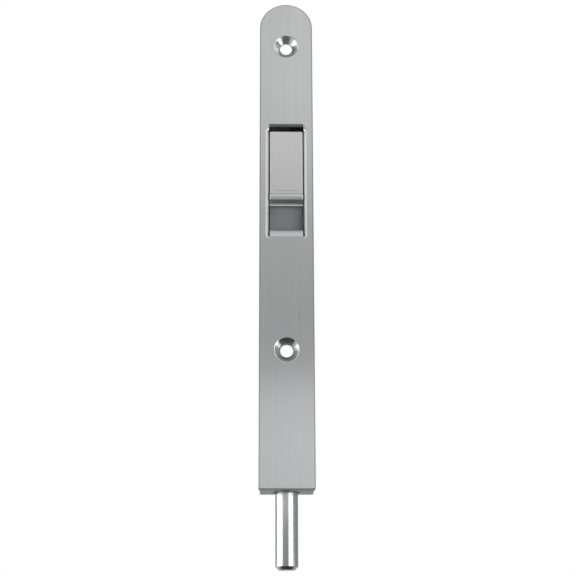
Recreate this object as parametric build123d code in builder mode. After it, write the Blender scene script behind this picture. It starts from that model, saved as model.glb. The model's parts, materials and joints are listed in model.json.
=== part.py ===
"""Lever flush bolt for the edge of a double door's passive leaf.

The frame: +Z is up the door edge, -Y points out of the edge towards the hand, and +Y goes into
the door. The origin is midway between the two fixing screws, on the rear face of the face plate.
The bolt is shown thrown, with its rod out of the lower end and its lever shut flush.
All sizes are in millimetres.
"""

from math import asin, cos, radians, sin, sqrt
import os

from build123d import *

os.makedirs("parts", exist_ok=True)

# ---------------------------------------------------------------- driving dimensions

# face plate
plate_width = 20.0
plate_thick = 3.0
screw_spacing = 120.0
lower_screw_rise = 50.0     # lower screw above the plate's square end
upper_screw_drop = 18.0     # upper screw below the plate's round end
screw_hole_r = 2.35
countersink_r = 4.5
countersink_angle = 90.0
countersink_edge_r = 0.7
plate_edge_r = 0.3
plate_corner_r = 0.6

# finger window: its side and lower edges roll inwards, its top edge is square
window_width = 13.0
window_top = 27.8
window_roll_top = 25.4
window_bottom = -16.6
window_roll_r = 1.4
window_corner_r = 0.5

# fingertip tongue, turned in from the window's lower edge between two slits
tongue_width = 12.2
tongue_start = -17.0
tongue_bend_r = 4.2
tongue_bend = 38.0          # degrees
tongue_tip_r = 1.0

# lever case, a folded box riveted behind the window
case_wall = 1.4
case_inner_width = 13.8
case_depth = 11.0
case_bottom = -30.0
case_inner_top = 30.0
case_fold_r = 2.0
flange_length = 6.4
strap_height = 6.0

# rivets
rivet_r = 1.1
rivet_head_r = 1.9
rivet_head_thick = 0.6
rivet_bite = 1.8            # how far a rivet's shank goes into the face plate
rivet_offset = 4.5
bridge_rivet_r = 0.8
bridge_rivet_head_r = 1.2

# linkage: lever arm and link are equally long, so the link's foot runs straight
arm = 20.0
pivot_height = 19.5
mechanism_y = 5.4           # plane of the lever's pivot, the link's foot and the rod
crank_pin_y = 1.2
lever_swing = 60.0          # degrees, shut to fully open
lost_motion = 4.2           # free slot below the link pin

# lever
lever_width = 12.4
lever_top = 25.4
lever_top_r = 0.9
lever_side_r = 0.45
lever_recess = 0.8          # flat of the lever below the face plate's front
slab_thick = 1.2
crease_height = 0.1         # sharp crease between the face and the lip
groove_length = 8.2         # short groove pressed in just above the crease
groove_width = 0.6
groove_depth = 0.15
groove_height = 1.0
lip_recess = 0.1            # ridge of the lip below the face plate's front
lip_ridge_height = -1.1
lip_roll_r = 2.4            # the lip rolls under from its ridge
lip_side_r = 0.3
skirt_height = -4.25        # a thin skirt hangs from the back of the roll
skirt_back = 0.2
skirt_root_height = -2.6
slab_foot_height = -0.8
cheek_thick = 1.5
cheek_foot = -1.6
cheek_waist = 10.0          # the two webs of a cheek meet here, clear of the open link
pivot_web_length = 13.6
pivot_boss_r = 3.4
crank_boss_r = 2.0

# pins and bearings
stub_r = 1.6
running_gap = 0.05
bush_wall = 0.65
stub_head_r = 2.4
stub_head_thick = 0.6
pivot_washer_r = 3.0
pivot_washer_gap = 0.1
pin_r = 1.0
pin_head_r = 1.7
pin_head_thick = 0.5
link_washer_r = 1.8
clip_mouth = 1.4

# link
link_half_thick = 1.0
link_width = 12.2
link_neck_width = 7.4
link_knuckle_r = 1.9
link_foot_r = 2.2
link_shoulder = 3.4         # from the crank pin to the wide part
link_shoulder_r = 1.5
fork_depth = 6.4            # from the link pin to the crotch of the fork
fork_below = 3.3            # the fork's cutter runs this far past the link pin
fork_gap = 6.6

# yoke
yoke_width = 6.0
yoke_head_r = 1.0
yoke_slot_wall = 1.35
yoke_lap_width = 9.0
yoke_lap_length = 12.0
yoke_head_wall = 1.2
yoke_clear = 0.6            # below the link's foot at the end of its lost motion
yoke_shelf = 1.5            # full-depth foot of the yoke, on which the strip's end sits

# drive strip
strip_width = 10.0
strip_thick = 2.0
strip_slot_width = 6.2
strip_slot_above = 6.0      # slot above the lower screw's centre, bolt thrown
strip_slot_below = 4.0      # slot below the lower screw's centre, bolt drawn
strip_rivet_pitch = 5.0
strip_rivet_drop = 3.5      # first rivet below the foot of the yoke
strip_rivet_r = 1.25

# rod
rod_throw = 27.0            # out of the plate's end, bolt thrown
rod_nose_r = 4.0
rod_shank_r = 3.8
rod_chamfer = 1.2
rod_nose_step = 0.4         # the nose ends this far outside the guide
rod_fork_length = 7.0
rod_pin_r = 1.1

# rod guide
guide_width = 19.0
guide_height = 14.0
guide_edge_r = 0.8
guide_end_chamfer = 0.35
guide_gap = 0.06
guide_bush_wall = 0.74
guide_bush_inset = 0.4
guide_rivet_x = 7.2
guide_seat_gap = 0.3        # strip above the guide when the bolt is thrown

# strip bridge
bridge_bottom = -50.0
bridge_height = 6.0
bridge_wall = 1.2
bridge_gap = 0.3
bridge_foot = 2.8

# detent spring
spring_width = 6.0
spring_thick = 0.4
spring_top = 17.0
spring_bottom = -9.0
spring_bow_height = -3.0
spring_bow = 1.1
spring_rivet_drop = 4.0
spring_lead = (0, -1)       # the bow leaves the flat straight down and arrives slanting
spring_trail = (0.5, -0.8)

# ---------------------------------------------------------------- places worked out from them

front = -plate_thick
plate_bottom = -screw_spacing / 2 - lower_screw_rise
plate_top = screw_spacing / 2 + upper_screw_drop
upper_screw = screw_spacing / 2
lower_screw = -screw_spacing / 2

rest_angle = asin((mechanism_y - crank_pin_y) / arm)
crank_pin_z = pivot_height - arm * cos(rest_angle)
link_pin_z = pivot_height - 2 * arm * cos(rest_angle)
throw = 2 * arm * (cos(rest_angle) - cos(rest_angle + radians(lever_swing)))

case_half = case_inner_width / 2
case_outer_half = case_half + case_wall
case_top = case_inner_top + case_wall
case_inner_y = case_depth - case_wall
lever_face = front + lever_recess
slab_back = lever_face + slab_thick
cheek_inner = lever_width / 2 - cheek_thick

yoke_front = mechanism_y - pin_r - running_gap - yoke_slot_wall
yoke_back = mechanism_y + pin_r + running_gap + yoke_slot_wall
yoke_top = link_pin_z + pin_r + running_gap + yoke_head_wall
yoke_slot_bottom = link_pin_z - lost_motion
yoke_foot = yoke_slot_bottom - link_foot_r - yoke_clear
strip_front = mechanism_y - strip_thick / 2
strip_back = mechanism_y + strip_thick / 2
yoke_lap_bottom = yoke_foot - yoke_lap_length
strip_top = yoke_foot - yoke_shelf
strip_rivet_top = yoke_foot - strip_rivet_drop
strip_rivet_heights = [strip_rivet_top, strip_rivet_top - strip_rivet_pitch]

guide_top = plate_bottom + guide_height
strip_bottom = guide_top + guide_seat_gap
rod_top = strip_bottom + rod_fork_length
rod_tip = plate_bottom - rod_throw
bush_bore_r = rod_nose_r + guide_gap
bush_outer_r = bush_bore_r + guide_bush_wall


def block(x_size, low, high, x_centre=0.0):
    """A box across X, between the (y, z) corners low and high, added to the open part."""
    y_size = high[0] - low[0]
    z_size = high[1] - low[1]
    with Locations((x_centre, (low[0] + high[0]) / 2, (low[1] + high[1]) / 2)):
        Box(x_size, y_size, z_size)


def cross_pin(radius, x_low, x_high, y, z, mode=Mode.ADD):
    """A cylinder along X between two x places."""
    with Locations(((x_low + x_high) / 2, y, z)):
        Cylinder(radius, x_high - x_low, rotation=(0, 90, 0), mode=mode)


def depth_pin(radius, y_low, y_high, x, z, mode=Mode.ADD):
    """A cylinder along Y between two y places."""
    with Locations((x, (y_low + y_high) / 2, z)):
        Cylinder(radius, y_high - y_low, rotation=(90, 0, 0), mode=mode)


def finish(builder, name):
    """Label one finished piece and write its STEP file."""
    builder.part.label = name
    export_step(builder.part, f"parts/{name}.step")


# ---------------------------------------------------------------- fixing places

case_rivet_places = [
    (side * rivet_offset, height)
    for side in (-1, 1)
    for height in (case_top + flange_length / 2, case_bottom + strap_height / 2)
]
guide_rivet_places = [(side * guide_rivet_x, plate_bottom + guide_height / 2) for side in (-1, 1)]
bridge_inner_half = strip_width / 2 + bridge_gap
bridge_leg_half = bridge_inner_half + bridge_wall
bridge_rivet_x = bridge_leg_half + bridge_foot / 2
bridge_mid = bridge_bottom + bridge_height / 2
bridge_rivet_places = [(side * bridge_rivet_x, bridge_mid) for side in (-1, 1)]


# ---------------------------------------------------------------- face plate

with BuildPart() as face_plate:
    with BuildSketch(Plane.XZ):
        with BuildLine():
            half = plate_width / 2
            shoulder = plate_top - half
            Line((-half, plate_bottom), (half, plate_bottom))
            Line((half, plate_bottom), (half, shoulder))
            RadiusArc((half, shoulder), (-half, shoulder), -half)
            Line((-half, shoulder), (-half, plate_bottom))
        make_face()
    extrude(amount=plate_thick)
    # the two lower corners are eased, then the whole front outline
    corner_edges = face_plate.edges().filter_by(Axis.Y).group_by(Axis.Z)[0]
    fillet(corner_edges, radius=plate_corner_r)
    fillet(face_plate.faces().sort_by(Axis.Y)[0].edges(), radius=plate_edge_r)
    # the rolled part of the window, then its square top
    with BuildSketch(Plane.XZ):
        with Locations((0, (window_bottom + window_roll_top) / 2)):
            Rectangle(window_width, window_roll_top - window_bottom)
        fillet(vertices(), radius=window_corner_r)
    extrude(amount=plate_thick, mode=Mode.SUBTRACT)
    window_rim = face_plate.faces().sort_by(Axis.Y)[0].inner_wires()[0].edges()
    fillet(window_rim, radius=window_roll_r)
    with BuildSketch(Plane.XZ):
        with Locations((0, (window_bottom + window_top) / 2)):
            Rectangle(window_width, window_top - window_bottom)
        fillet(vertices(), radius=window_corner_r)
    extrude(amount=plate_thick, mode=Mode.SUBTRACT)
    # section of the tongue: flush at its foot, then bent inwards to a round tip
    with BuildSketch(Plane.YZ.offset(-tongue_width / 2)):
        bend = radians(tongue_bend)
        foot = (front, window_bottom - window_roll_r)
        bend_start = (front, tongue_start)
        bend_end = (
            front + tongue_bend_r * (1 - cos(bend)),
            tongue_start + tongue_bend_r * sin(bend),
        )
        tip_centre_y = bend_end[0] + tongue_tip_r * cos(bend)
        tip = (tip_centre_y, bend_end[1] + tongue_tip_r * (1 - sin(bend)))
        with BuildLine():
            Line(foot, bend_start)
            RadiusArc(bend_start, bend_end, tongue_bend_r)
            RadiusArc(bend_end, tip, tongue_tip_r)
            Line(tip, (0, tip[1]))
            Line((0, tip[1]), (0, foot[1]))
            Line((0, foot[1]), foot)
        make_face()
    extrude(amount=tongue_width)
    # countersunk screw holes, and the blind holes that the rivets grip
    with Locations(Plane(origin=(0, front, 0), x_dir=(1, 0, 0), z_dir=(0, -1, 0))):
        with Locations((0, upper_screw), (0, lower_screw)):
            CounterSinkHole(
                screw_hole_r,
                countersink_r,
                depth=plate_thick,
                counter_sink_angle=countersink_angle,
            )
    screw_rims = face_plate.edges(Select.LAST).group_by(Axis.Y)[0]
    fillet(screw_rims, radius=countersink_edge_r)
    for x, z in case_rivet_places + guide_rivet_places:
        depth_pin(rivet_r, -rivet_bite, 0, x, z, mode=Mode.SUBTRACT)
    for x, z in bridge_rivet_places:
        depth_pin(bridge_rivet_r, -rivet_bite, 0, x, z, mode=Mode.SUBTRACT)
finish(face_plate, "face_plate")


# ---------------------------------------------------------------- lever case and its rivets

with BuildPart() as lever_case:
    block(2 * case_outer_half, (0, case_bottom), (case_depth, case_top))
    back_edges = lever_case.faces().sort_by(Axis.Y)[-1].edges()
    fillet(back_edges.filter_by(Axis.Z) + back_edges.sort_by(Axis.Z)[-1:], radius=case_fold_r)
    with BuildSketch(Plane.XY.offset(case_bottom)):
        with Locations((0, case_inner_y / 2)):
            Rectangle(2 * case_half, case_inner_y)
    extrude(amount=case_inner_top - case_bottom, mode=Mode.SUBTRACT)
    block(2 * case_outer_half, (0, case_top), (case_wall, case_top + flange_length))
    block(2 * case_half, (0, case_bottom), (case_wall, case_bottom + strap_height))
    fillet(
        lever_case.edges().filter_by(Axis.Y).sort_by(Axis.Z)[-2:],
        radius=case_fold_r,
    )
    for x, z in case_rivet_places:
        depth_pin(rivet_r, 0, case_wall, x, z, mode=Mode.SUBTRACT)
    cross_pin(stub_r, -case_outer_half, case_outer_half, mechanism_y, pivot_height, mode=Mode.SUBTRACT)
    depth_pin(
        rivet_r, case_inner_y, case_depth, 0, spring_top - spring_rivet_drop, mode=Mode.SUBTRACT
    )
finish(lever_case, "lever_case")

with BuildPart() as case_rivets:
    for x, z in case_rivet_places:
        depth_pin(rivet_r, -rivet_bite, case_wall, x, z)
        depth_pin(rivet_head_r, case_wall, case_wall + rivet_head_thick, x, z)
    fillet(
        case_rivets.edges().filter_by(GeomType.CIRCLE).group_by(Axis.Y)[-1],
        radius=rivet_head_thick / 2,
    )
finish(case_rivets, "case_rivets")


# ---------------------------------------------------------------- lever pivots and their washers

with BuildPart() as lever_pivots:
    for side in (-1, 1):
        inner = side * (cheek_inner + running_gap)
        outer = side * case_outer_half
        head = side * (case_outer_half + stub_head_thick)
        cross_pin(stub_r, min(inner, outer), max(inner, outer), mechanism_y, pivot_height)
        cross_pin(stub_head_r, min(outer, head), max(outer, head), mechanism_y, pivot_height)
    for end in (0, -1):
        rim = lever_pivots.edges().filter_by(GeomType.CIRCLE).group_by(Axis.X)[end]
        chamfer(rim, length=stub_head_thick / 2)
finish(lever_pivots, "lever_pivots")

with BuildPart() as pivot_washers:
    washer_inner = lever_width / 2 + pivot_washer_gap
    for side in (-1, 1):
        ends = sorted((side * washer_inner, side * case_half))
        cross_pin(pivot_washer_r, ends[0], ends[1], mechanism_y, pivot_height)
        cross_pin(stub_r, ends[0], ends[1], mechanism_y, pivot_height, mode=Mode.SUBTRACT)
finish(pivot_washers, "pivot_washers")


# ---------------------------------------------------------------- lever, its bushes and crank pin

with BuildPart() as lever_lip:
    # section from the crease over the nose and under to the skirt
    with BuildSketch(Plane.YZ.offset(-lever_width / 2)):
        with BuildLine():
            ridge_face = front + lip_recess
            roll_foot = (ridge_face + lip_roll_r, lip_ridge_height - lip_roll_r)
            nose_height = crease_height - lip_ridge_height
            nose_depth = lever_face - ridge_face
            nose_r = (nose_depth**2 + nose_height**2) / (2 * nose_depth)
            RadiusArc((lever_face, crease_height), (ridge_face, lip_ridge_height), -nose_r)
            RadiusArc((ridge_face, lip_ridge_height), roll_foot, -lip_roll_r)
            Line(roll_foot, (roll_foot[0], skirt_height))
            Line((roll_foot[0], skirt_height), (skirt_back, skirt_height))
            Line((skirt_back, skirt_height), (skirt_back, skirt_root_height))
            Line((skirt_back, skirt_root_height), (slab_back, slab_foot_height))
            Line((slab_back, slab_foot_height), (slab_back, crease_height))
            Line((slab_back, crease_height), (lever_face, crease_height))
        make_face()
    extrude(amount=lever_width)
    lip_ends = lever_lip.faces().filter_by(Axis.X)
    fillet(lip_ends.edges().filter_by(GeomType.CIRCLE), radius=lip_side_r)

with BuildPart() as lever:
    # slab with a rounded face, and the lip below it
    block(lever_width, (lever_face, crease_height), (slab_back, lever_top))
    slab_front = lever.faces().sort_by(Axis.Y)[0].edges()
    fillet(slab_front.sort_by(Axis.Z)[-1:], radius=lever_top_r)
    side_edges = lever.faces().filter_by(Axis.X).edges().filter_by(Axis.Z)
    fillet(side_edges.filter_by(lambda e: e.center().Y < lever_face + slab_thick / 2), radius=lever_side_r)
    add(lever_lip)
    with BuildSketch(Plane.XZ.offset(-lever_face)):
        with Locations((0, groove_height)):
            SlotOverall(groove_length, groove_width)
    extrude(amount=-groove_depth, mode=Mode.SUBTRACT)
    # two cheeks carry the pivot bosses and the crank pin
    web_y = slab_back - slab_thick / 4
    for side in (-1, 1):
        start = min(side * cheek_inner, side * lever_width / 2)
        with BuildSketch(Plane.YZ.offset(start)):
            with Locations((crank_pin_y, crank_pin_z)):
                Circle(crank_boss_r)
            with Locations((web_y, (cheek_foot + cheek_waist) / 2)):
                Rectangle(slab_thick / 2, cheek_waist - cheek_foot)
            make_hull()
        extrude(amount=cheek_thick)
        with BuildSketch(Plane.YZ.offset(start)):
            with Locations((mechanism_y, pivot_height)):
                Circle(pivot_boss_r)
            with Locations((web_y, pivot_height - pivot_boss_r)):
                Rectangle(slab_thick / 2, pivot_web_length)
            make_hull()
        extrude(amount=cheek_thick)
    half_lever = lever_width / 2
    cross_pin(
        stub_r + running_gap + bush_wall, -half_lever, half_lever,
        mechanism_y, pivot_height, mode=Mode.SUBTRACT,
    )
    cross_pin(pin_r, -half_lever, half_lever, crank_pin_y, crank_pin_z, mode=Mode.SUBTRACT)
finish(lever, "lever")

with BuildPart() as lever_bushes:
    for side in (-1, 1):
        ends = sorted((side * cheek_inner, side * lever_width / 2))
        bore = stub_r + running_gap
        cross_pin(bore + bush_wall, ends[0], ends[1], mechanism_y, pivot_height)
        cross_pin(bore, ends[0], ends[1], mechanism_y, pivot_height, mode=Mode.SUBTRACT)
finish(lever_bushes, "lever_bushes")

with BuildPart() as crank_pin:
    cross_pin(pin_r, -lever_width / 2, lever_width / 2, crank_pin_y, crank_pin_z)
finish(crank_pin, "crank_pin")

with BuildPart() as link_washers:
    for side in (-1, 1):
        ends = sorted((side * (link_neck_width / 2 + running_gap), side * (cheek_inner - running_gap)))
        cross_pin(link_washer_r, ends[0], ends[1], crank_pin_y, crank_pin_z)
        cross_pin(pin_r, ends[0], ends[1], crank_pin_y, crank_pin_z, mode=Mode.SUBTRACT)
finish(link_washers, "link_washers")


# ---------------------------------------------------------------- link and its foot pin

# the link lies along a line from the crank pin down to the foot pin
link_plane = Plane(
    origin=(0, crank_pin_y, crank_pin_z),
    x_dir=(1, 0, 0),
    z_dir=(0, -cos(rest_angle), -sin(rest_angle)),
)

with BuildPart() as link:
    # seen square on: a neck between the lever's cheeks, then full width down to the fork
    with BuildSketch(link_plane.offset(-link_half_thick)):
        with Locations((0, -arm / 2)):
            Rectangle(link_neck_width, arm)
        with Locations((0, -(link_shoulder + arm) / 2)):
            Rectangle(link_width, arm - link_shoulder)
    extrude(amount=2 * link_half_thick)
    shoulder_edges = (
        link.edges()
        .filter_by(lambda edge: abs(edge.length - 2 * link_half_thick) < 0.01)
        .filter_by(lambda edge: abs(abs(edge.center().X) - link_width / 2) < 0.01)
        .sort_by(Axis.Z)[-2:]
    )
    fillet(shoulder_edges, radius=link_shoulder_r)
    cross_pin(link_knuckle_r, -link_neck_width / 2, link_neck_width / 2, crank_pin_y, crank_pin_z)
    cross_pin(link_foot_r, -link_width / 2, link_width / 2, mechanism_y, link_pin_z)
    # the fork that straddles the yoke
    with BuildSketch(link_plane.offset(-2 * link_foot_r)):
        with Locations((0, -arm + (fork_depth - fork_below) / 2)):
            Rectangle(fork_gap, fork_depth + fork_below)
    extrude(amount=4 * link_foot_r, mode=Mode.SUBTRACT)
    cross_pin(
        pin_r + running_gap, -link_width / 2, link_width / 2,
        crank_pin_y, crank_pin_z, mode=Mode.SUBTRACT,
    )
    cross_pin(pin_r, -link_width / 2, link_width / 2, mechanism_y, link_pin_z, mode=Mode.SUBTRACT)
finish(link, "link")

with BuildPart() as link_pin:
    pin_end = link_width / 2 + pin_head_thick
    cross_pin(pin_r, -link_width / 2, pin_end, mechanism_y, link_pin_z)
    cross_pin(pin_head_r, -pin_end, -link_width / 2, mechanism_y, link_pin_z)
finish(link_pin, "link_pin")

with BuildPart() as link_pin_clip:
    cross_pin(pin_head_r, link_width / 2, pin_end, mechanism_y, link_pin_z)
    cross_pin(pin_r, link_width / 2, pin_end, mechanism_y, link_pin_z, mode=Mode.SUBTRACT)
    # the clip's mouth, by which it is pushed on from behind
    with Locations(((link_width / 2 + pin_end) / 2, mechanism_y + pin_head_r / 2, link_pin_z)):
        Box(pin_head_thick, pin_head_r, clip_mouth, mode=Mode.SUBTRACT)
finish(link_pin_clip, "link_pin_clip")


# ---------------------------------------------------------------- yoke, drive strip and rivets

with BuildPart() as yoke:
    block(yoke_width, (yoke_front, yoke_foot), (yoke_back, yoke_top))
    fillet(yoke.edges().filter_by(Axis.X).group_by(Axis.Z)[-1], radius=yoke_head_r)
    # slot for the link pin, with its lost motion below
    with BuildSketch(Plane.YZ.offset(-yoke_width / 2)):
        slot_r = pin_r + running_gap
        with Locations((mechanism_y, (link_pin_z + yoke_slot_bottom) / 2)):
            SlotOverall(lost_motion + 2 * slot_r, 2 * slot_r, rotation=90)
    extrude(amount=yoke_width, mode=Mode.SUBTRACT)
    # lap plate behind the drive strip
    block(yoke_lap_width, (strip_back, yoke_lap_bottom), (yoke_back, yoke_foot))
    block(yoke_lap_width, (yoke_front, strip_top), (yoke_back, yoke_foot))
    for height in strip_rivet_heights:
        depth_pin(strip_rivet_r, yoke_front, yoke_back, 0, height, mode=Mode.SUBTRACT)
finish(yoke, "yoke")

strip_slot_top = lower_screw + strip_slot_above
strip_slot_bottom = lower_screw - throw - strip_slot_below

with BuildPart() as drive_strip:
    block(strip_width, (strip_front, strip_bottom), (strip_back, strip_top))
    with BuildSketch(Plane.XZ.offset(-strip_front)):
        with Locations((0, (strip_slot_top + strip_slot_bottom) / 2)):
            SlotOverall(strip_slot_top - strip_slot_bottom, strip_slot_width, rotation=90)
    extrude(amount=-strip_thick, mode=Mode.SUBTRACT)
    for height in strip_rivet_heights:
        depth_pin(strip_rivet_r, strip_front, strip_back, 0, height, mode=Mode.SUBTRACT)
    rod_pin_z = strip_bottom + rod_fork_length / 2
    depth_pin(rod_pin_r, strip_front, strip_back, 0, rod_pin_z, mode=Mode.SUBTRACT)
finish(drive_strip, "drive_strip")

with BuildPart() as yoke_rivets:
    for height in strip_rivet_heights:
        depth_pin(strip_rivet_r, strip_front, yoke_back, 0, height)
        depth_pin(rivet_head_r, strip_front - rivet_head_thick, strip_front, 0, height)
    fillet(
        yoke_rivets.edges().filter_by(GeomType.CIRCLE).group_by(Axis.Y)[0],
        radius=rivet_head_thick / 2,
    )
finish(yoke_rivets, "yoke_rivets")


# ---------------------------------------------------------------- rod and its pin

with BuildPart() as rod:
    nose_top = plate_bottom - rod_nose_step
    with BuildSketch(Plane.XY.offset(rod_tip)):
        with Locations((0, mechanism_y)):
            Circle(rod_nose_r)
    extrude(amount=nose_top - rod_tip)
    with BuildSketch(Plane.XY.offset(nose_top)):
        with Locations((0, mechanism_y)):
            Circle(rod_shank_r)
    extrude(amount=rod_top - nose_top)
    chamfer(rod.edges().filter_by(GeomType.CIRCLE).group_by(Axis.Z)[0], length=rod_chamfer)
    # the sawn fork that takes the drive strip
    with Locations((0, mechanism_y, (strip_bottom + rod_top) / 2)):
        Box(2 * rod_nose_r, strip_thick, rod_fork_length, mode=Mode.SUBTRACT)
    depth_pin(
        rod_pin_r, mechanism_y - rod_nose_r, mechanism_y + rod_nose_r, 0, rod_pin_z, mode=Mode.SUBTRACT
    )
finish(rod, "rod")

with BuildPart() as rod_pin:
    reach = sqrt(rod_shank_r**2 - rod_pin_r**2)
    depth_pin(rod_pin_r, mechanism_y - reach, mechanism_y + reach, 0, rod_pin_z)
finish(rod_pin, "rod_pin")


# ---------------------------------------------------------------- rod guide, bush and rivets

with BuildPart() as rod_guide:
    block(guide_width, (0, plate_bottom), (case_depth, guide_top))
    guide_back = rod_guide.faces().sort_by(Axis.Y)[-1]
    fillet(guide_back.edges(), radius=guide_edge_r)
    end_edge = rod_guide.edges().filter_by(Axis.X).group_by(Axis.Z)[0].sort_by(Axis.Y)[0]
    chamfer(end_edge, length=guide_end_chamfer)
    with BuildSketch(Plane.XY.offset(plate_bottom)):
        with Locations((0, mechanism_y)):
            Circle(bush_outer_r)
    extrude(amount=guide_height, mode=Mode.SUBTRACT)
    for x, z in guide_rivet_places:
        depth_pin(rivet_r, 0, case_depth, x, z, mode=Mode.SUBTRACT)
        depth_pin(
            rivet_head_r, case_depth - rivet_head_thick, case_depth, x, z, mode=Mode.SUBTRACT
        )
finish(rod_guide, "rod_guide")

with BuildPart() as guide_bush:
    with BuildSketch(Plane.XY.offset(plate_bottom + guide_bush_inset)):
        with Locations((0, mechanism_y)):
            Circle(bush_outer_r)
            Circle(bush_bore_r, mode=Mode.SUBTRACT)
    extrude(amount=guide_height - guide_bush_inset)
finish(guide_bush, "guide_bush")

with BuildPart() as guide_rivets:
    for x, z in guide_rivet_places:
        depth_pin(rivet_r, -rivet_bite, case_depth - rivet_head_thick, x, z)
        depth_pin(rivet_head_r, case_depth - rivet_head_thick, case_depth, x, z)
finish(guide_rivets, "guide_rivets")


# ---------------------------------------------------------------- strip bridge and its rivets

with BuildPart() as strip_bridge:
    bridge_inner_y = strip_back + bridge_gap
    bridge_outer_y = bridge_inner_y + bridge_wall
    bridge_top = bridge_bottom + bridge_height
    block(2 * bridge_leg_half, (0, bridge_bottom), (bridge_outer_y, bridge_top))
    fillet(
        strip_bridge.faces().sort_by(Axis.Y)[-1].edges().filter_by(Axis.Z),
        radius=bridge_wall,
    )
    with Locations((0, bridge_inner_y / 2, bridge_mid)):
        Box(2 * bridge_inner_half, bridge_inner_y, bridge_height, mode=Mode.SUBTRACT)
    foot_width = bridge_foot + bridge_wall
    for side in (-1, 1):
        foot_centre = side * (bridge_inner_half + foot_width / 2)
        block(foot_width, (0, bridge_bottom), (bridge_wall, bridge_top), x_centre=foot_centre)
    for x, z in bridge_rivet_places:
        depth_pin(bridge_rivet_r, 0, bridge_wall, x, z, mode=Mode.SUBTRACT)
finish(strip_bridge, "strip_bridge")

with BuildPart() as bridge_rivets:
    for x, z in bridge_rivet_places:
        depth_pin(bridge_rivet_r, -rivet_bite, bridge_wall, x, z)
        depth_pin(bridge_rivet_head_r, bridge_wall, bridge_wall + rivet_head_thick, x, z)
finish(bridge_rivets, "bridge_rivets")


# ---------------------------------------------------------------- detent spring and its rivet

with BuildPart() as detent_spring:
    with BuildSketch(Plane.YZ.offset(-spring_width / 2)):
        seat = case_inner_y - spring_thick
        flat_end = spring_top - 2 * spring_rivet_drop
        with BuildLine():
            for y in (seat, case_inner_y):
                Line((y, spring_top), (y, flat_end))
                Spline(
                    (y, flat_end),
                    (y - spring_bow, spring_bow_height),
                    (y, spring_bottom),
                    tangents=[spring_lead, spring_trail],
                )
            for height in (spring_top, spring_bottom):
                Line((seat, height), (case_inner_y, height))
        make_face()
    extrude(amount=spring_width)
    depth_pin(
        rivet_r, seat, case_inner_y, 0, spring_top - spring_rivet_drop, mode=Mode.SUBTRACT
    )
finish(detent_spring, "detent_spring")

with BuildPart() as spring_rivet:
    rivet_z = spring_top - spring_rivet_drop
    depth_pin(rivet_r, seat, case_depth, 0, rivet_z)
    depth_pin(rivet_head_r, seat - rivet_head_thick / 2, seat, 0, rivet_z)
finish(spring_rivet, "spring_rivet")
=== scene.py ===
"""Looks of the lever flush bolt: materials for the CAD nodes, a soft studio and the camera.

Metres, in the CAD frame: +Z up the door edge, -Y out of the edge, origin between the two screws.
"""

import json
from math import cos, pi, radians, sin

import bpy
from mathutils import Matrix, Vector


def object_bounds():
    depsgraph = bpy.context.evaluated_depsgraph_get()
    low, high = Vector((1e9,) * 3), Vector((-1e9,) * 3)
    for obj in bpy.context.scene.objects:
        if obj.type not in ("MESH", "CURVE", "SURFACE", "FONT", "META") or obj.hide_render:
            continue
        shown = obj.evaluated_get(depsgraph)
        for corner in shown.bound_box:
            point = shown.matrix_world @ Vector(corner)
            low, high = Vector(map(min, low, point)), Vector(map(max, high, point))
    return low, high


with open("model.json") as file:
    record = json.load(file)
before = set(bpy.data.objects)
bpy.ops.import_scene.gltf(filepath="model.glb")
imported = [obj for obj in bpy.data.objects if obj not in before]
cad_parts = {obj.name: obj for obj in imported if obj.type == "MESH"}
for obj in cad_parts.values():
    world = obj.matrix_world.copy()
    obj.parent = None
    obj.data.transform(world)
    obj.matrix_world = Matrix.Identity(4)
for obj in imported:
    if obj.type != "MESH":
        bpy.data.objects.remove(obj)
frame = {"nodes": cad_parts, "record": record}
cad_low, cad_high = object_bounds()
nodes = frame["nodes"]
mounts = {mount["name"]: mount for mount in frame["record"]["mounts"]}
screw_dims = mounts["fixing_screws"]["dims"]

scene = bpy.context.scene
scene.view_settings.view_transform = "Standard"
scene.view_settings.look = "None"

MM = 0.001
MICRON = 0.000001
screw_height = screw_dims["spacing_y_mm"] / 2 * MM
countersink_wall = 2.5      # mm from the hole's wall to the outside of the countersink's rim
countersink_reach = (screw_dims["hole_r_mm"] + countersink_wall) * MM
countersink_blend = 0.25 * MM
painted_outline_width = 0.5 * MM        # painted shade: a darker line along the plate's outline, standing in for its edge turning away from the light
painted_outline_shade = 0.42            # tone of the painted outline shade, as a share of the plate's tone
brush_anisotropy = 0.6
streak_dark = 0.09          # how far the streaks go below and above the steel's tone
streak_light = 0.06
cutter_rings = 2600         # features per metre, outwards from the screw's axis
sheared_metal = 0.35        # metallic value on sheared walls, which scatter more
sheared_dulling = 0.22      # roughness that shearing adds

# ---------------------------------------------------------------- camera

camera_place = Vector((-9.75, -468.5, -179.3)) * MM
camera_yaw = 1.26           # degrees, towards +X
camera_pitch = 17.0         # degrees, looking up
camera_roll = -0.155
camera_lens = 83.8


def aim_matrix(place, yaw, pitch, roll):
    """World matrix of a camera at place, from its three angles in degrees."""
    yaw, pitch, roll = radians(yaw), radians(pitch), radians(roll)
    forward = Vector((sin(yaw) * cos(pitch), cos(yaw) * cos(pitch), sin(pitch)))
    level = Vector((cos(yaw), -sin(yaw), 0))
    over = level.cross(forward)
    right = level * cos(roll) + over * sin(roll)
    up = over * cos(roll) - level * sin(roll)
    turn = Matrix((right, up, -forward)).transposed()
    return Matrix.Translation(place) @ turn.to_4x4()


camera_data = bpy.data.cameras.new("camera")
camera_data.lens = camera_lens
camera_data.clip_start = 0.01
camera = bpy.data.objects.new("camera", camera_data)
camera.matrix_world = aim_matrix(camera_place, camera_yaw, camera_pitch, camera_roll)
scene.collection.objects.link(camera)
scene.camera = camera

# ---------------------------------------------------------------- node helpers


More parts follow.
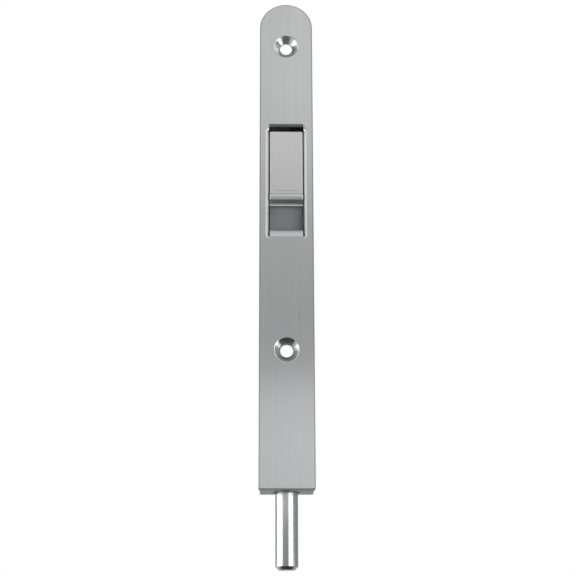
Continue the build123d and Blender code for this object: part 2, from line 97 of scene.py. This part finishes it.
class Shader:
    """A material's node tree, with short calls for the nodes that the finishes share."""

    def __init__(self, name):
        self.material = bpy.data.materials.new(name)
        self.material.use_nodes = True
        self.tree = self.material.node_tree
        self.surface = self.tree.nodes["Principled BSDF"]
        self.place = self.add("ShaderNodeTexCoord").outputs["Object"]

    def add(self, kind, **settings):
        node = self.tree.nodes.new(kind)
        for key, value in settings.items():
            setattr(node, key, value)
        return node

    def link(self, source, socket):
        self.tree.links.new(source, socket)

    def set(self, **values):
        """Uniform values, set straight on the surface's own sockets."""
        for key, value in values.items():
            self.surface.inputs[key.replace("_", " ")].default_value = value

    def noise(self, scale, detail=2.0, roughness=0.5, offset=(0, 0, 0)):
        """Noise whose scale, in features per metre, may differ along X, Y and Z."""
        mapping = self.add("ShaderNodeMapping")
        mapping.inputs["Scale"].default_value = scale
        mapping.inputs["Location"].default_value = offset
        self.link(self.place, mapping.inputs["Vector"])
        noise = self.add("ShaderNodeTexNoise")
        noise.inputs["Scale"].default_value = 1.0
        noise.inputs["Detail"].default_value = detail
        noise.inputs["Roughness"].default_value = roughness
        self.link(mapping.outputs["Vector"], noise.inputs["Vector"])
        return noise.outputs["Fac"]

    def spread(self, value, low, high, from_low=0.3, from_high=0.7):
        """Maps a value from one range to another."""
        node = self.add("ShaderNodeMapRange")
        for socket, number in zip(node.inputs[1:5], (from_low, from_high, low, high)):
            socket.default_value = number
        self.link(value, node.inputs["Value"])
        return node.outputs["Result"]

    def math(self, operation, first, second):
        node = self.add("ShaderNodeMath", operation=operation)
        for socket, value in zip(node.inputs, (first, second)):
            if isinstance(value, (int, float)):
                socket.default_value = value
            else:
                self.link(value, socket)
        return node.outputs[0]

    def colour(self, low, high, factor):
        """A colour between two, by a factor."""
        mix = self.add("ShaderNodeMix", data_type="RGBA")
        mix.inputs["A"].default_value = (*low, 1)
        mix.inputs["B"].default_value = (*high, 1)
        self.link(factor, mix.inputs["Factor"])
        return mix.outputs["Result"]

    def edge(self, radius):
        """1 where the surface turns sharply within the radius, for a painted highlight along edges, and 0 on
        flats.
        """
        bevel = self.add("ShaderNodeBevel", samples=4)
        bevel.inputs["Radius"].default_value = radius
        normal = self.add("ShaderNodeNewGeometry").outputs["Normal"]
        dot = self.add("ShaderNodeVectorMath", operation="DOT_PRODUCT")
        self.link(bevel.outputs["Normal"], dot.inputs[0])
        self.link(normal, dot.inputs[1])
        return self.spread(dot.outputs["Value"], 1.0, 0.0, 0.80, 0.99)

    def sheared(self):
        """High on walls that run into the sheet, which are punched and not brushed."""
        normal = self.add("ShaderNodeTexCoord").outputs["Normal"]
        split = self.add("ShaderNodeSeparateXYZ")
        self.link(normal, split.inputs[0])
        return self.spread(self.math("ABSOLUTE", split.outputs["Y"], 0), 1.0, 0.0, 0.05, 0.35)

    def length(self, first, second):
        """Length of the hypotenuse over two sides."""
        squares = [self.math("POWER", self.math("ABSOLUTE", side, 0), 2) for side in (first, second)]
        return self.math("SQRT", self.math("ADD", *squares), 0)

    def axes(self):
        """The place, split into its X, Y and Z."""
        split = self.add("ShaderNodeSeparateXYZ")
        self.link(self.place, split.inputs[0])
        return split.outputs

    def screw_distance(self):
        """Distance from the nearer screw's axis, the two being evenly above and below the origin."""
        axes = self.axes()
        rise = self.math("SUBTRACT", self.math("ABSOLUTE", axes["Z"], 0), screw_height)
        return self.length(axes["X"], rise)

    def middle_distance(self):
        """Distance from the plate's middle line, which ends at the middle of its round end."""
        axes = self.axes()
        past_end = self.math("SUBTRACT", axes["Z"], cad_high.z - cad_high.x)
        return self.length(axes["X"], self.math("MAXIMUM", past_end, 0))

    def blend(self, first, second, share):
        """The weighted sum of two outputs, share of the first and the rest of the second."""
        return self.math(
            "ADD",
            self.math("MULTIPLY", first, share),
            self.math("MULTIPLY", second, round(1 - share, 6)),
        )

    def shaded(self, colour, shade, factor):
        """A colour output, taken towards a fixed shade by a factor."""
        mix = self.add("ShaderNodeMix", data_type="RGBA")
        mix.inputs["B"].default_value = (*shade, 1)
        self.link(colour, mix.inputs["A"])
        self.link(factor, mix.inputs["Factor"])
        return mix.outputs["Result"]

    def rings(self, distance, scale):
        """Noise along a distance from an axis only, as a turning tool leaves."""
        noise = self.add("ShaderNodeTexNoise", noise_dimensions="1D")
        noise.inputs["Scale"].default_value = scale
        noise.inputs["Detail"].default_value = 2.0
        self.link(distance, noise.inputs["W"])
        return noise.outputs["Fac"]

    def bump(self, heights):
        """Bump from a list of (height output, depth in metres)."""
        normal = None
        for height, depth in heights:
            node = self.add("ShaderNodeBump")
            node.inputs["Strength"].default_value = 1.0
            node.inputs["Distance"].default_value = depth
            self.link(height, node.inputs["Height"])
            if normal is not None:
                self.link(normal, node.inputs["Normal"])
            normal = node.outputs["Normal"]
        self.link(normal, self.surface.inputs["Normal"])


# ---------------------------------------------------------------- finishes


def satin_steel(name, tone, rough=(0.26, 0.36), streak=1.0, countersunk=False):
    """Stainless steel brushed along Z: fine and coarse streaks and clouding.

    Where it is countersunk, rings from the cutter take the place of the brushing, and a painted shade
    darkens the plate's outline.
    """
    shader = Shader(name)
    fine = shader.noise((9000, 9000, 60), detail=3)
    coarse = shader.noise((1400, 1400, 9), detail=3, offset=(3, 1, 7))
    cloud = shader.noise((45, 45, 22), detail=3, offset=(5, 2, 1))
    mixed = shader.blend(shader.blend(fine, coarse, 0.5), cloud, 0.65)
    low = [channel * (1 - streak_dark * streak) for channel in tone]
    high = [channel * (1 + streak_light * streak) for channel in tone]
    colour = shader.colour(low, high, shader.spread(mixed, 0, 1, 0.38, 0.62))
    if countersunk:
        # painted shade: the plate's tone is darkened along its outline, where the edge falls into shade
        painted_outline_starts, painted_outline_full = cad_high.x - painted_outline_width, cad_high.x - painted_outline_width / 2
        painted_outline_mask = shader.spread(shader.middle_distance(), 0.0, 1.0, painted_outline_starts, painted_outline_full)
        colour = shader.shaded(colour, [channel * painted_outline_shade for channel in tone], painted_outline_mask)
    shader.link(colour, shader.surface.inputs["Base Color"])
    sheared = shader.sheared()
    reliefs = [(fine, 4 * MICRON * streak), (coarse, 6 * MICRON * streak)]
    brushed = shader.spread(mixed, rough[1], rough[0], 0.35, 0.65)
    roughness = shader.math("ADD", brushed, shader.math("MULTIPLY", sheared, sheared_dulling))
    if countersunk:
        distance = shader.screw_distance()
        blend_starts = countersink_reach - countersink_blend
        near_screw = shader.spread(distance, 1.0, 0.0, blend_starts, countersink_reach)
        depth = shader.axes()["Y"]
        near_front = shader.spread(depth, 1.0, 0.0, -2 * countersink_blend, -countersink_blend)
        bored = shader.math("MULTIPLY", near_screw, near_front)
        rings = shader.rings(distance, cutter_rings)
        reliefs.append((shader.math("MULTIPLY", rings, bored), 30 * MICRON))
        turned = shader.spread(rings, 0.16, 0.26)
        difference = shader.math("SUBTRACT", turned, roughness)
        roughness = shader.math("ADD", roughness, shader.math("MULTIPLY", bored, difference))
        brushing = shader.spread(bored, brush_anisotropy, 0.0, 0.0, 1.0)
        shader.link(brushing, shader.surface.inputs["Anisotropic"])
        sheared = shader.math("MULTIPLY", sheared, shader.spread(bored, 1.0, 0.0, 0.0, 1.0))
    else:
        shader.set(Anisotropic=brush_anisotropy)
    shader.link(roughness, shader.surface.inputs["Roughness"])
    metal = shader.spread(sheared, 1.0, sheared_metal, 0.0, 1.0)
    shader.link(metal, shader.surface.inputs["Metallic"])
    tangent = shader.add("ShaderNodeTangent", direction_type="RADIAL", axis="Z")
    shader.link(tangent.outputs["Tangent"], shader.surface.inputs["Tangent"])
    shader.bump(reliefs)
    return shader.material


def polished_steel(name):
    """Bright drawn steel: a near mirror with faint lines along the rod and a few light rubs."""
    shader = Shader(name)
    shader.set(Metallic=1.0)
    lines = shader.noise((5200, 5200, 14), detail=3)
    rub = shader.noise((160, 160, 90), detail=4, offset=(2, 8, 4))
    shader.link(
        shader.colour((0.55, 0.56, 0.57), (0.70, 0.70, 0.70), shader.spread(lines, 0, 1)),
        shader.surface.inputs["Base Color"],
    )
    shader.link(shader.spread(rub, 0.18, 0.26), shader.surface.inputs["Roughness"])
    shader.bump([(lines, 1.2 * MICRON), (rub, 1.5 * MICRON)])
    return shader.material


def plated_steel(name, low, high, rough=(0.34, 0.52), grain=2200):
    """Pressed steel with a thin plating: soft clouding, rolling lines and a painted highlight along bends
    and edges.
    """
    shader = Shader(name)
    shader.set(Metallic=1.0)
    cloud = shader.noise((260, 260, 180), detail=4)
    rolled = shader.noise((grain, grain, 60), detail=2, offset=(1, 4, 2))
    mixed = shader.blend(cloud, rolled, 0.7)
    edge_highlight = shader.edge(0.4 * MM)
    # painted highlight: the tone is lifted along sharp edges and bends
    tone = shader.math("ADD", shader.spread(mixed, 0.0, 0.7, 0.38, 0.62), shader.math("MULTIPLY", edge_highlight, 0.3))
    shader.link(shader.colour(low, high, tone), shader.surface.inputs["Base Color"])
    shader.link(shader.spread(mixed, rough[1], rough[0], 0.35, 0.65), shader.surface.inputs["Roughness"])
    shader.bump([(cloud, 10 * MICRON), (rolled, 5 * MICRON)])
    return shader.material


def cast_zinc(name, low, high):
    """Tumbled die casting: fine pitting, blotches and a painted highlight along edges."""
    shader = Shader(name)
    shader.set(Metallic=0.85)
    pits = shader.noise((5200, 5200, 5200), detail=2)
    blotch = shader.noise((420, 420, 420), detail=4, offset=(3, 3, 9))
    edge_highlight = shader.edge(0.5 * MM)
    # painted highlight: the tone is lifted along sharp edges
    tone = shader.math("ADD", shader.spread(blotch, 0.0, 0.7), shader.math("MULTIPLY", edge_highlight, 0.4))
    shader.link(shader.colour(low, high, tone), shader.surface.inputs["Base Color"])
    shader.link(shader.spread(pits, 0.42, 0.60), shader.surface.inputs["Roughness"])
    shader.bump([(pits, 12 * MICRON), (blotch, 20 * MICRON)])
    return shader.material


def turned_brass(name):
    """Turned brass with faint rings and a little tarnish."""
    shader = Shader(name)
    shader.set(Metallic=1.0)
    tarnish = shader.noise((700, 700, 700), detail=4)
    rings = shader.noise((300, 300, 9000), detail=2)
    shader.link(
        shader.colour((0.42, 0.30, 0.13), (0.78, 0.62, 0.33), shader.spread(tarnish, 0, 1)),
        shader.surface.inputs["Base Color"],
    )
    shader.link(shader.spread(tarnish, 0.42, 0.24), shader.surface.inputs["Roughness"])
    shader.bump([(rings, 6 * MICRON)])
    return shader.material


# ---------------------------------------------------------------- finishes on the CAD nodes

finishes = {
    "satin_plate": satin_steel("satin_plate_look", (0.585, 0.59, 0.59), countersunk=True),
    "satin_lever": satin_steel("satin_lever_look", (0.64, 0.64, 0.64), (0.28, 0.38), 0.7),
    "polished_rod": polished_steel("polished_rod_look"),
    "plated_steel": plated_steel("plated_steel_look", (0.34, 0.35, 0.35), (0.62, 0.63, 0.62)),
    "dull_link": plated_steel("dull_link_look", (0.26, 0.26, 0.265), (0.36, 0.36, 0.365), (0.45, 0.6)),
    "zinc_casting": cast_zinc("zinc_casting_look", (0.40, 0.41, 0.41), (0.66, 0.67, 0.67)),
    "bearing_brass": turned_brass("bearing_brass_look"),
    "spring_steel": plated_steel("spring_steel_look", (0.20, 0.21, 0.24), (0.38, 0.39, 0.42), (0.25, 0.4)),
    "rivet_steel": plated_steel("rivet_steel_look", (0.44, 0.45, 0.45), (0.70, 0.70, 0.70), (0.28, 0.42)),
}
for part in frame["record"]["subparts"]:
    node = nodes[part["node"]]
    for material_slot in node.material_slots:
        material_slot.material = finishes[part["material_slot"]]

# ---------------------------------------------------------------- studio

object_middle = (cad_low + cad_high) / 2


def softbox(name, azimuth, elevation, distance, size, radiance):
    """A rectangular light seen from the object at this azimuth (0 in front, 90 to +X).

    Angles are in degrees, the distance and the light's size in metres.
    """
    data = bpy.data.lights.new(name, "AREA")
    data.shape = "RECTANGLE"
    data.size, data.size_y = size
    data.energy = radiance * pi * data.size * data.size_y
    turn, lift = radians(azimuth), radians(elevation)
    away = Vector((sin(turn) * cos(lift), -cos(turn) * cos(lift), sin(lift)))
    light = bpy.data.objects.new(name, data)
    light.location = object_middle + away * distance
    light.rotation_mode = "QUATERNION"
    light.rotation_quaternion = away.to_track_quat("Z", "Y")
    light.visible_camera = False
    scene.collection.objects.link(light)
    return light


# the two sides, each with a bright low light and a fainter high one
softbox("left_low_softbox", azimuth=-81, elevation=-4, distance=0.9, size=(1.26, 0.52), radiance=2.4)
softbox("left_high_softbox", azimuth=-72, elevation=30, distance=0.9, size=(1.5, 0.48), radiance=0.85)
softbox("right_low_softbox", azimuth=41, elevation=-4, distance=0.9, size=(0.66, 0.52), radiance=2.3)
softbox("right_high_softbox", azimuth=54, elevation=30, distance=0.9, size=(1.0, 0.48), radiance=0.8)

# from above, in front and behind: these brighten the plate's top and the guide's end face
softbox("top_softbox", azimuth=0, elevation=52, distance=1.0, size=(1.4, 1.0), radiance=0.44)
softbox("band_softbox", azimuth=0, elevation=26, distance=0.9, size=(0.9, 0.08), radiance=0.36)
softbox("back_low_softbox", azimuth=180, elevation=-8, distance=0.9, size=(1.2, 0.16), radiance=1.1)

# a small light low on the right, which the upper countersink throws back
right_foot_place = (0.417, -0.169, -0.18)
right_foot = softbox(
    "right_foot_softbox", azimuth=68, elevation=-28, distance=0.45, size=(0.22, 0.16), radiance=2.4
)
right_foot.location = right_foot_place

# a small cool fill close to the plate's foot, above the line on which the rod reflects
foot_fill_gap = 0.1         # in front of the plate
foot_fill_rise = 0.060      # above the rod's tip
foot_fill = softbox(
    "foot_fill", azimuth=0, elevation=0, distance=foot_fill_gap, size=(0.22, 0.056), radiance=0.33
)
foot_fill.location = (0, -foot_fill_gap, cad_low.z + foot_fill_rise)
foot_fill.data.color = (0.94, 1.0, 1.02)

room_light = (0.33, 0.33, 0.335, 1)
world = bpy.data.worlds.new("studio")
world.use_nodes = True
world.node_tree.nodes["Background"].inputs["Color"].default_value = room_light
scene.world = world


def emitter(name, strength):
    """A plain self-lit white, for the backdrop."""
    material = bpy.data.materials.new(name)
    material.use_nodes = True
    tree = material.node_tree
    tree.nodes.remove(tree.nodes["Principled BSDF"])
    glow = tree.nodes.new("ShaderNodeEmission")
    glow.inputs["Strength"].default_value = strength
    tree.links.new(glow.outputs["Emission"], tree.nodes["Material Output"].inputs["Surface"])
    return material


def unseen_by_light(stage_object):
    """Keeps a backdrop for the camera only, out of reflections and shadows."""
    stage_object.visible_diffuse = False
    stage_object.visible_glossy = False
    stage_object.visible_transmission = False
    stage_object.visible_shadow = False


floor_drop = 0.12           # below the rod's tip, so that the low camera stays above it
floor_size = 4.0
backdrop_radius = 6.0
bpy.ops.mesh.primitive_plane_add(size=floor_size, location=(0, 0, cad_low.z - floor_drop))
floor = bpy.context.object
floor.name = "floor"
floor_shader = Shader("floor_look")
floor_cloud = floor_shader.noise((3, 3, 3), detail=3)
floor_shader.link(
    floor_shader.colour((0.78, 0.78, 0.78), (0.82, 0.82, 0.82), floor_cloud),
    floor_shader.surface.inputs["Base Color"],
)
floor_shader.set(Roughness=0.8)
floor.data.materials.append(floor_shader.material)

bpy.ops.mesh.primitive_uv_sphere_add(
    radius=backdrop_radius, segments=48, ring_count=24, location=object_middle
)
backdrop = bpy.context.object
backdrop.name = "backdrop"
backdrop.data.materials.append(emitter("backdrop_look", 1.0))
unseen_by_light(backdrop)

# a dark card under the camera's line, which shades the undersides in reflection
card_width = 0.4
card_length = 0.82
card_reach = 0.38           # its middle, in front of the plate
card_drop = 0.07            # below the rod's tip
bpy.ops.mesh.primitive_plane_add(size=1.0, location=(0, -card_reach, cad_low.z - card_drop))
dark_card = bpy.context.object
dark_card.name = "dark_card"
dark_card.scale = (card_width, card_length, 1)
card_shader = Shader("dark_card_look")
card_shader.set(Roughness=0.9)
card_cloud = card_shader.noise((3, 3, 3), detail=3)
card_shader.link(
    card_shader.colour((0.05, 0.05, 0.05), (0.06, 0.06, 0.06), card_cloud),
    card_shader.surface.inputs["Base Color"],
)
dark_card.data.materials.append(card_shader.material)
dark_card.visible_camera = False
dark_card.visible_shadow = False
